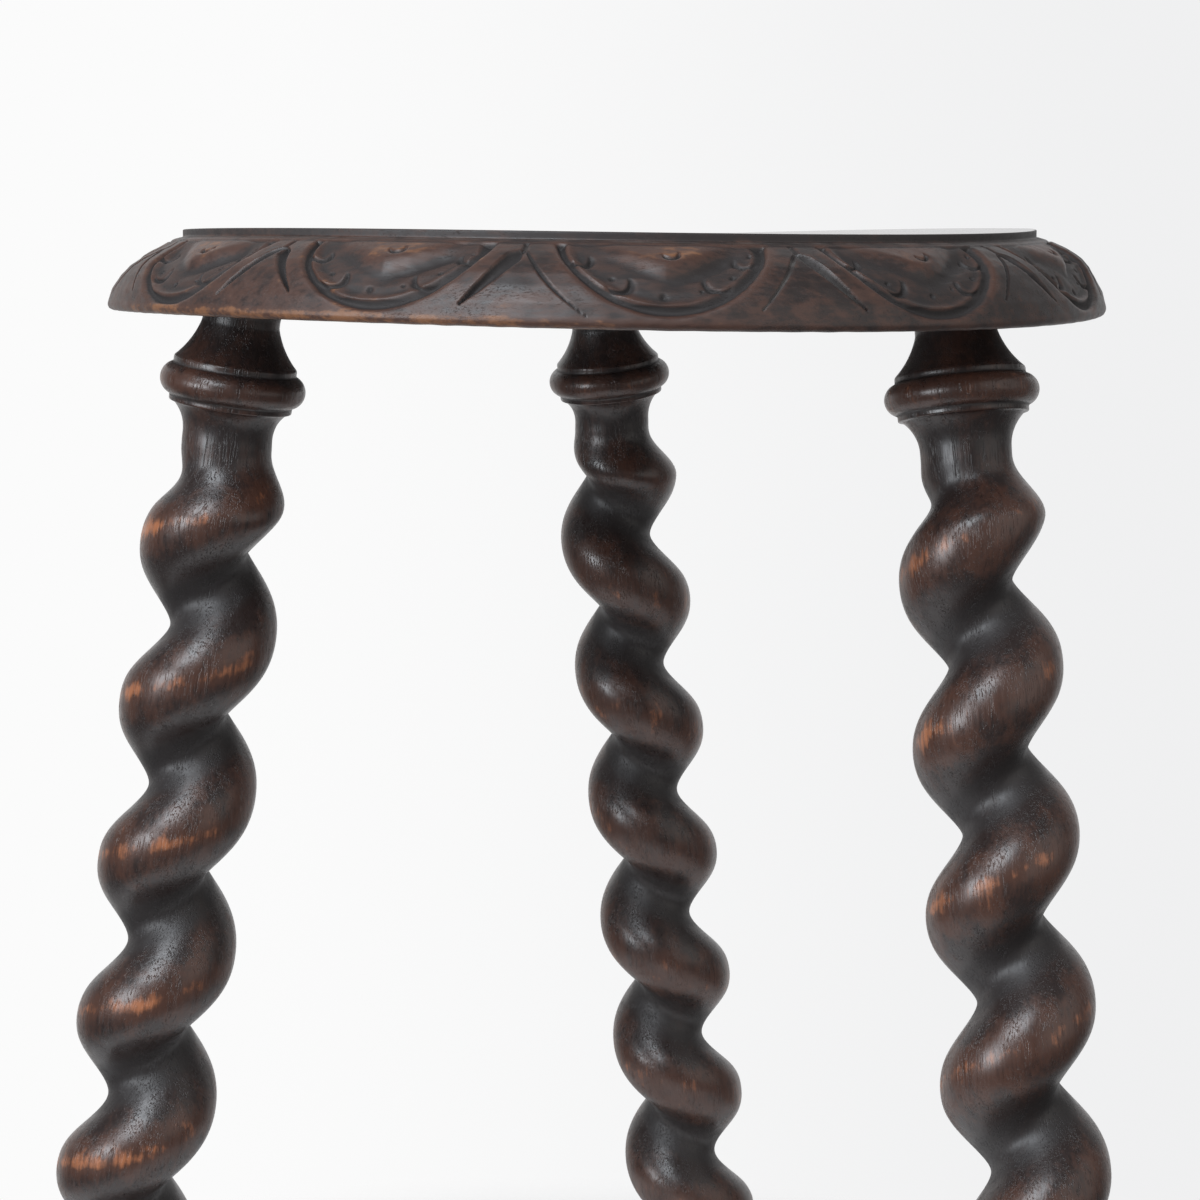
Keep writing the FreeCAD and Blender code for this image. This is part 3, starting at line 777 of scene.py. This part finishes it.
def leg_rows(stance, leg):
    """Rows of points down a leg, their turned radius, and where the twist begins and ends."""
    floor = UNDERSIDE / math.cos(math.radians(stance.lean))
    head = worn_outline(head_outline(leg, stance.drop), TURNED_SPACING, TURNED_SOFTNESS)
    turned_head = ease(head[:, 1], -2 * MM, 2 * MM)
    turned_head = turned_head * (1 - ease(head[:, 1] - stance.drop, 8 * MM, 18 * MM))
    head[:, 0] *= 1 + turned_head * (stance.girth - 1)
    foot = worn_outline(foot_outline(leg, floor), TURNED_SPACING, TURNED_SOFTNESS)
    top, end = head[-1, 1], foot[0, 1]
    rows = np.linspace(top, end, int((end - top) / TWIST_SPACING))[1:-1]
    down = np.concatenate([head[:, 1], rows, foot[:, 1]])
    plain = np.concatenate([head[:, 0], np.full(len(rows), leg.neck_radius), foot[:, 0]])
    return down[:, None], plain[:, None], top, end


def leg_finish(stance, down, plain, top, around, turn, grow):
    """How worn, grimy and dusty a leg is: rubbed crests, painted shade in the hollows, coves and
    under the seat, dust below the seat.
    """
    facing = np.cos(around)
    off_crest = np.abs(np.angle(np.exp(1j * (around + stance.hand * math.radians(9)))))
    # Rubbed band on the crests, real wear, made stronger on the front-left where the light falls:
    # partly painted light
    band = bell(off_crest, 0.36) * (0.72 + 0.55 * np.cos(turn - math.radians(222)))
    crest = 0.42 * ease(facing, -0.60, 0.90) + 0.22 * stance.rub * band
    # Painted shade below the crests, set per leg; painted light where that is below 0
    shade_below_crest = ease(stance.hand * np.sin(around), -0.6, 0.8)
    # The twist's hollows are darkened through the grime value: painted shade
    hollow = 1 - ease(facing, -0.90, -0.15)

    rounded = np.convolve(plain[:, 0], np.ones(9) / 9, "same")[:, None]
    edge = np.clip((plain - rounded) / (0.35 * MM), -1, 1)
    edge[:8] = edge[-8:] = 0
    corner, nook = np.clip(edge, 0, 1), np.clip(-edge, 0, 1)
    turned = 0.24 + 0.30 * ease(plain, 19.0 * MM, 21.4 * MM) + 0.10 * corner
    # Painted shadow of the seat: the throat just below it is darkened
    seat_shadow = 1 - ease(down - stance.drop, -12 * MM, -5 * MM)
    neck = ease(down - stance.drop, 6 * MM, 11 * MM) * (1 - ease(down - top, 4 * MM, 14 * MM))
    # Coves and the throat darkened: painted shade in the creases and under the seat; the neck is
    # dulled with grime
    turned_shade_and_grime = 0.10 + 0.75 * nook + 0.25 * seat_shadow + 0.32 * neck
    seat_dust = 1 - ease(np.abs(down), 0.4 * MM, 2.6 * MM)

    wear = grow * (0.06 + crest - stance.painted_shade * shade_below_crest) + (1 - grow) * turned
    grime_and_shade = grow * hollow + (1 - grow) * np.clip(turned_shade_and_grime, 0, 1)
    dust = (1 - grow) * nook * 0.7 + seat_dust * 0.9
    return {"wear": wear, "grime_and_shade": grime_and_shade, "dust": dust}


def make_leg(name, stance, leg, seed):
    """A leg: tenon, head, barley twist and foot as one skin of rings, cut flat at the floor."""
    down, plain, top, end = leg_rows(stance, leg)
    around = 2 * np.pi * np.arange(LEG_CELLS)[None, :] / LEG_CELLS
    grow = ease(down - top, 0, leg.fade) * ease(end - down, 0, leg.fade)
    full = stance.fullness * (1 + leg.swell * np.clip((down - top) / (end - top), 0, 1))
    section = leg.twist_radius + leg.throw * np.cos(around) - leg.flat * np.cos(2 * around)
    rasped = uneven(around, down / RASP_LENGTH, seed, count=12, low=0.6, high=2.4)
    knifed = uneven(around, down / KNIFE_LENGTH, seed + 1, count=16, low=1, high=5)
    worked = leg.hand_wobble * (rasped + 0.2 * knifed)
    radius = plain + grow * (full * section + worked - plain)
    twisted = stance.hand * 2 * np.pi * np.clip(down, top, end) / stance.pitch
    turn = math.radians(stance.ridge) - twisted + around
    off_axis = stance.head_shift * (1 - ease(down - stance.drop, 6 * MM, 24 * MM))
    aside, back = radius * np.cos(turn) + off_axis, radius * np.sin(turn)
    points = np.stack(np.broadcast_arrays(aside, back, -down), axis=-1)
    grain = points * np.array([1, 1, -1])
    grain = grain + np.array([0.11 * (seed + 1), 0.07 * seed, 0.23 * seed])

    faces = strips([LEG_CELLS] * len(down), closed=True)
    top_cap = np.arange(LEG_CELLS)[None, :]
    bottom_cap = (len(down) - 1) * LEG_CELLS + np.arange(LEG_CELLS)[::-1][None, :]
    finish = leg_finish(stance, down, plain, top, around, turn, grow)
    values = {key: np.broadcast_to(value, radius.shape).ravel() for key, value in finish.items()}
    place = np.array(leg_matrix(stance, leg))
    placed = points.reshape(-1, 3) @ place[:3, :3].T + place[:3, 3]
    made = add_mesh(
        name, placed, faces, [top_cap, bottom_cap], grain=grain.reshape(-1, 3), **values
    )
    cut_at_floor(made)
    return made


def cut_at_floor(piece):
    """Cuts a foot off flat at the floor and closes the cut."""
    shape = bmesh.new()
    shape.from_mesh(piece.data)
    everything = shape.verts[:] + shape.edges[:] + shape.faces[:]
    bmesh.ops.bisect_plane(
        shape, geom=everything, plane_co=(0, 0, 0), plane_no=(0, 0, -1), clear_outer=True
    )
    rim = [edge for edge in shape.edges if edge.is_boundary]
    for edge in rim:
        edge.smooth = False
    sole = bmesh.ops.edgeloop_fill(shape, edges=rim)["faces"]
    for face in sole:
        face.smooth = False
    bmesh.ops.recalc_face_normals(shape, faces=shape.faces[:])
    shape.to_mesh(piece.data)
    shape.free()


def add_node(tree, kind, inputs=None, **options):
    """Node with options set and its inputs set or linked."""
    made = tree.nodes.new(kind)
    for key, value in options.items():
        setattr(made, key, value)
    for key, value in (inputs or {}).items():
        if isinstance(value, bpy.types.NodeSocket):
            tree.links.new(value, made.inputs[key])
        else:
            made.inputs[key].default_value = value
    return made


def combine(tree, operation, first, second):
    """Sum, product or the like of two values."""
    return add_node(
        tree, "ShaderNodeMath", {0: first, 1: second}, operation=operation
    ).outputs[0]


def add_scaled(tree, value, part, scale):
    """Sum of a value and of a part that is scaled."""
    return combine(tree, "ADD", value, combine(tree, "MULTIPLY", part, scale))


def ramp(tree, value, low, high, start=0.0, end=1.0):
    """Smooth change from start to end as a value goes from low to high."""
    return add_node(
        tree, "ShaderNodeMapRange",
        {"Value": value, "From Min": low, "From Max": high, "To Min": start, "To Max": end},
        interpolation_type="SMOOTHSTEP",
    ).outputs["Result"]


def blend(tree, factor, first, second):
    """Colour between two colours."""
    made = add_node(tree, "ShaderNodeMix", {0: factor}, data_type="RGBA")
    for index, value in ((6, first), (7, second)):
        if isinstance(value, bpy.types.NodeSocket):
            tree.links.new(value, made.inputs[index])
        else:
            made.inputs[index].default_value = (*value, 1)
    return made.outputs[2]


def streaks(tree, grain, across, along, detail=3.0, roughness=0.55):
    """Noise drawn out along the grain: cells per metre across and along it."""
    scaled = add_node(
        tree, "ShaderNodeVectorMath", {0: grain, 1: (across, across, along)}, operation="MULTIPLY"
    )
    return add_node(
        tree, "ShaderNodeTexNoise",
        {"Vector": scaled.outputs[0], "Scale": 1.0, "Detail": detail, "Roughness": roughness},
    ).outputs[0]


def stored(tree, key, output="Fac"):
    """Value stored at the points of a mesh."""
    return add_node(tree, "ShaderNodeAttribute", attribute_name=key).outputs[output]


def new_material(name):
    """Empty material and its output node."""
    material = bpy.data.materials.new(name)
    material.use_nodes = True
    material.node_tree.nodes.clear()
    return material, add_node(material.node_tree, "ShaderNodeOutputMaterial")


def add_surface(tree, output, tone, rough, bump):
    """Surface of a colour, roughness and bump, linked to the output."""
    surface = add_node(
        tree, "ShaderNodeBsdfPrincipled",
        {"Base Color": tone, "Roughness": rough, "Normal": bump.outputs[0]},
    )
    tree.links.new(surface.outputs[0], output.inputs["Surface"])
    return surface


class OakGrain(NamedTuple):
    """How the grain of a stained oak shows."""

    fibres: tuple  # fibres per metre across and along the grain
    patches: tuple  # worn patches per metre across and along the grain
    contrast: float  # how far the patches show
    figure: float  # how far the fibres show
    relief: float  # how deep fibres and pores are felt


SEAT_GRAIN = OakGrain((900, 220), (210, 130), contrast=0.24, figure=0.12, relief=0.05 * MM)
LEG_GRAIN = OakGrain((900, 38), (95, 70), contrast=0.32, figure=0.11, relief=0.28 * MM)
WAX_SHINE = 0.8


def make_stained_oak(name, oak, finish, worn, base):
    """Dark-stained, waxed oak of a base roughness: pores and fibres along the grain, worn crests,
    grime and painted shade in the cuts and hollows, dust in the cuts."""
    material, output = new_material(name)
    tree = material.node_tree
    grain = stored(tree, "grain", "Vector")
    across, along = oak.fibres
    figure = oak.figure
    fibre = streaks(tree, grain, across, along)
    fine = streaks(tree, grain, 2.7 * across, 4 * along, 2.0)
    mottle = streaks(tree, grain, *oak.patches, 5.0, 0.66)
    bands = streaks(tree, grain, 210, along / 6, 1.0)
    banded = ramp(tree, bands, 0.38, 0.60, 0.1, 1.0)
    pores = combine(tree, "MULTIPLY", ramp(tree, fine, 0.54, 0.68), banded)
    polish = stored(tree, "polish")

    shown = ramp(tree, fibre, 0.25, 0.75, -figure, figure)
    wear = combine(tree, "ADD", stored(tree, "wear"), shown)
    spread = ramp(tree, mottle, 0.22, 0.78, -oak.contrast, oak.contrast)
    wear = add_scaled(tree, wear, spread, ramp(tree, polish, 0.0, 1.0, 1.0, 0.3))
    boards = ramp(tree, streaks(tree, grain, 380, 9, 5.0, 0.6), 0.28, 0.72, -0.26, 0.26)
    wear = add_scaled(tree, wear, boards, polish)
    rubbed = ramp(tree, wear, 0.66, 1.06)
    thin = ramp(tree, wear, 0.08, 0.62)
    # Stored grime with painted shade: darkens the tone and dulls the wax
    grime_and_shade = ramp(tree, stored(tree, "grime_and_shade"), 0.15, 0.95)
    patchy = ramp(tree, mottle, 0.35, 0.68, 0.08, 0.5)
    dusty = combine(tree, "MULTIPLY", ramp(tree, stored(tree, "dust"), 0.30, 1.0), patchy)

    tone = blend(tree, thin, finish.stain, finish.brown)
    for cover, scale, laid in (
        (rubbed, 0.9, worn), (grime_and_shade, 0.8, finish.grime_and_shade), (pores, 1.6 * figure, finish.grime_and_shade)
    ):
        tone = blend(tree, combine(tree, "MULTIPLY", cover, scale), tone, laid)
    tone = blend(tree, dusty, tone, finish.dust)

    rough = ramp(tree, fibre, 0.2, 0.8, base - figure / 2, base + figure / 2)
    for cover, scale in ((grime_and_shade, 0.6 * base), (pores, 2 * figure), (dusty, 0.45)):
        rough = add_scaled(tree, rough, cover, scale)
    rough = combine(tree, "MULTIPLY", rough, ramp(tree, polish, 0.0, 1.0, 1.0, 0.22))

    height = combine(tree, "SUBTRACT", combine(tree, "MULTIPLY", fibre, 0.45), pores)
    height = combine(tree, "MULTIPLY", height, ramp(tree, polish, 0.0, 1.0, 1.0, 0.05))
    bump = add_node(
        tree, "ShaderNodeBump", {"Strength": 0.5, "Distance": oak.relief, "Height": height}
    )
    surface = add_surface(tree, output, tone, rough, bump)
    surface.inputs["Specular IOR Level"].default_value = WAX_SHINE


def make_bare_oak(finish):
    """Plain oak of the pins and wedges inside the joints."""
    material, output = new_material(BARE)
    tree = material.node_tree
    place = add_node(tree, "ShaderNodeTexCoord").outputs["Object"]
    fibre = streaks(tree, place, 700, 90)
    pores = ramp(tree, streaks(tree, place, 2200, 200, 2.0), 0.58, 0.68)
    pale = tuple(finish.bare)
    deep, dark = (tuple(level * part for part in pale) for level in (0.72, 0.4))
    tone = blend(tree, ramp(tree, fibre, 0.3, 0.7), deep, pale)
    tone = blend(tree, combine(tree, "MULTIPLY", pores, 0.6), tone, dark)
    rough = ramp(tree, fibre, 0.2, 0.8, 0.6, 0.75)
    bump = add_node(
        tree, "ShaderNodeBump", {"Strength": 0.4, "Distance": 0.2 * MM, "Height": fibre}
    )
    add_surface(tree, output, tone, rough, bump)
    return material


def dress(piece, material):
    """Gives a piece one material."""
    piece.data.materials.clear()
    piece.data.materials.append(material)


class STOOL_OT_finish(bpy.types.Operator):
    """Make the stained and the bare oak, and put bare oak on the pins inside the joints"""

    bl_idname = "stool.finish"
    bl_label = "Oak finishes"

    def execute(self, context):
        finish = context.scene.stool.finish
        make_stained_oak(SEAT_OAK, SEAT_GRAIN, finish, finish.edge, finish.seat_roughness)
        make_stained_oak(LEG_OAK, LEG_GRAIN, finish, finish.worn, finish.leg_roughness)
        bare = make_bare_oak(finish)
        for name in HIDDEN_PINS:
            dress(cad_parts[name], bare)
        return {"FINISHED"}


class STOOL_OT_seat(bpy.types.Operator):
    """Carve the two boards of the seat"""

    bl_idname = "stool.seat"
    bl_label = "Carved seat"

    def execute(self, context):
        seat = context.scene.stool.seat
        for place, first_turn in (("front", -np.pi / 2), ("rear", np.pi / 2)):
            board = make_seat_board(f"carved_{place}_board", first_turn, seat)
            dress(board, bpy.data.materials[SEAT_OAK])
            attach(board, BODY)
            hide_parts(f"seat_{place}_board")
        return {"FINISHED"}


class STOOL_OT_legs(bpy.types.Operator):
    """Turn and twist the three legs"""

    bl_idname = "stool.legs"
    bl_label = "Barley-twist legs"

    def execute(self, context):
        leg = context.scene.stool.leg
        for seed, (place, stance) in enumerate(STANCES.items()):
            made = make_leg(f"twist_leg_{place}", stance, leg, seed)
            dress(made, bpy.data.materials[LEG_OAK])
            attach(made, BODY)
            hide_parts(f"leg_{place}")
        return {"FINISHED"}


FLOOR_PAINT = (0.94, 0.92, 0.90, 1)
WALL_LEFT, WALL_RIGHT = (0.965, 0.965, 0.965), (0.868, 0.870, 0.876)
ROOM_TINT = (0.93, 0.97, 1.0)
SKY_TINT = (0.93, 0.96, 1.0, 1)
# Place, width and height, and tint of each lamp
LAMPS = {
    "window_lamp": ((-0.85, -1.58, 1.90), (1.25, 1.5), (0.88, 0.94, 1.0)),
    "sill_lamp": ((-1.80, -1.60, 0.56), (1.2, 0.8), (0.90, 0.95, 1.0)),
    "fill_lamp": ((1.5, -1.0, 0.9), (2.2, 1.8), (1.0, 0.97, 0.93)),
}
LAMP_AIM_HEIGHT = 0.3
SENSOR_WIDTH = 36
CAMERA_CLIP = (0.05, 50)


def mix_shaders(tree, factor, first, second):
    """Shader between two shaders."""
    return add_node(tree, "ShaderNodeMixShader", {0: factor, 1: first, 2: second}).outputs[0]


def make_floor(stage):
    """Pale floor that keeps the shadow near the stool and fades into the backdrop further out."""
    disc = bmesh.new()
    bmesh.ops.create_circle(disc, cap_ends=True, segments=128, radius=stage.floor_radius)
    mesh = bpy.data.meshes.new("floor")
    disc.to_mesh(mesh)
    disc.free()
    floor = add_object("floor", mesh)
    material, output = new_material("pale_floor")
    tree = material.node_tree
    place = add_node(tree, "ShaderNodeTexCoord").outputs["Object"]
    away = add_node(tree, "ShaderNodeVectorMath", {0: place}, operation="LENGTH").outputs["Value"]
    faded = ramp(tree, away, stage.floor_fade_start, stage.floor_fade_end)
    paint = add_node(tree, "ShaderNodeBsdfDiffuse", {"Color": FLOOR_PAINT}).outputs[0]
    clear = add_node(tree, "ShaderNodeBsdfTransparent").outputs[0]
    mixed = mix_shaders(tree, faded, paint, clear)
    tree.links.new(mixed, output.inputs["Surface"])
    mesh.materials.append(material)


def make_backdrop(stage):
    """White wall that is seen and mirrored, a dim room in front of it, and a sky for the rest of
    the light."""
    world = bpy.data.worlds.new("white_room")
    bpy.context.scene.world = world
    world.use_nodes = True
    tree = world.node_tree
    tree.nodes.clear()
    output = add_node(tree, "ShaderNodeOutputWorld")
    heading = add_node(tree, "ShaderNodeTexCoord").outputs["Generated"]
    aside, back, upward = add_node(tree, "ShaderNodeSeparateXYZ", {0: heading}).outputs
    white = blend(tree, ramp(tree, aside, -0.16, 0.22), WALL_LEFT, WALL_RIGHT)
    room = tuple(stage.room_level * part for part in ROOM_TINT)
    mirrored = blend(tree, ramp(tree, back, 0.30, 0.92), room, white)
    daylight = ramp(tree, upward, -0.5, 0.5, 0.55 * stage.sky_level, 1.25 * stage.sky_level)
    seen, gloss, sky = (
        add_node(tree, "ShaderNodeBackground", {"Color": tint, "Strength": strength}).outputs[0]
        for tint, strength in ((white, 1.0), (mirrored, 1.0), (SKY_TINT, daylight))
    )
    path = add_node(tree, "ShaderNodeLightPath").outputs
    glossed = mix_shaders(tree, path["Is Glossy Ray"], sky, gloss)
    direct = combine(tree, "MAXIMUM", path["Is Camera Ray"], path["Is Transmission Ray"])
    mixed = mix_shaders(tree, direct, glossed, seen)
    tree.links.new(mixed, output.inputs["Surface"])


def add_lamp(name, place, size, tint, watts):
    """Soft lamp of a width and height, aimed at the stool."""
    lamp = bpy.data.lights.new(name, "AREA")
    lamp.shape = "RECTANGLE"
    lamp.size, lamp.size_y = size
    lamp.energy = watts
    lamp.color = tint
    made = add_object(name, lamp)
    made.location = place
    aim = Vector((*SEAT_AXIS, LAMP_AIM_HEIGHT)) - Vector(place)
    made.rotation_euler = aim.to_track_quat("-Z", "Y").to_euler()


def add_camera(stage):
    """Camera of the photo."""
    camera = bpy.data.cameras.new("photo_camera")
    camera.sensor_width = SENSOR_WIDTH
    camera.lens = stage.camera_lens
    camera.clip_start, camera.clip_end = CAMERA_CLIP
    made = add_object("photo_camera", camera)
    yaw = Matrix.Rotation(stage.camera_yaw, 4, "Z")
    pitch = Matrix.Rotation(math.pi / 2 - stage.camera_pitch, 4, "X")
    roll = Matrix.Rotation(stage.camera_roll, 4, "Z")
    made.matrix_world = Matrix.Translation(stage.camera_place) @ yaw @ (pitch @ roll)
    bpy.context.scene.camera = made


class STOOL_OT_stage(bpy.types.Operator):
    """Set up the floor, the backdrop, the lamps and the camera"""

    bl_idname = "stool.stage"
    bl_label = "Stage"

    def execute(self, context):
        stage = context.scene.stool.stage
        make_floor(stage)
        make_backdrop(stage)
        powers = (stage.window_power, stage.sill_power, stage.fill_power)
        for (name, lamp), watts in zip(LAMPS.items(), powers):
            add_lamp(name, *lamp, watts)
        add_camera(stage)
        context.scene.view_settings.view_transform = "Standard"
        return {"FINISHED"}


class STOOL_PT_panel(bpy.types.Panel):
    """The stool's steps and settings"""

    bl_idname = "STOOL_PT_panel"
    bl_label = "Stool"
    bl_space_type = "VIEW_3D"
    bl_region_type = "UI"
    bl_category = "Stool"

    def draw(self, context):
        for operator in OPERATORS:
            self.layout.operator(operator.bl_idname)
        for group in ("seat", "leg", "finish", "stage"):
            settings = getattr(context.scene.stool, group)
            box = self.layout.box()
            box.label(text=group.capitalize())
            for key in settings.__annotations__:
                box.prop(settings, key)


GROUPS = (
    StoolSeatSettings, StoolLegSettings, StoolFinishSettings, StoolStageSettings, StoolSettings
)
OPERATORS = (STOOL_OT_finish, STOOL_OT_seat, STOOL_OT_legs, STOOL_OT_stage)


def register():
    for kind in (*GROUPS, *OPERATORS, STOOL_PT_panel):
        bpy.utils.register_class(kind)
    bpy.types.Scene.stool = PointerProperty(type=StoolSettings)


def unregister():
    del bpy.types.Scene.stool
    for kind in reversed((*GROUPS, *OPERATORS, STOOL_PT_panel)):
        bpy.utils.unregister_class(kind)


def main():
    register()
    bpy.ops.stool.finish()
    bpy.ops.stool.seat()
    bpy.ops.stool.legs()
    bpy.ops.stool.stage()


if __name__ == "__main__":
    main()
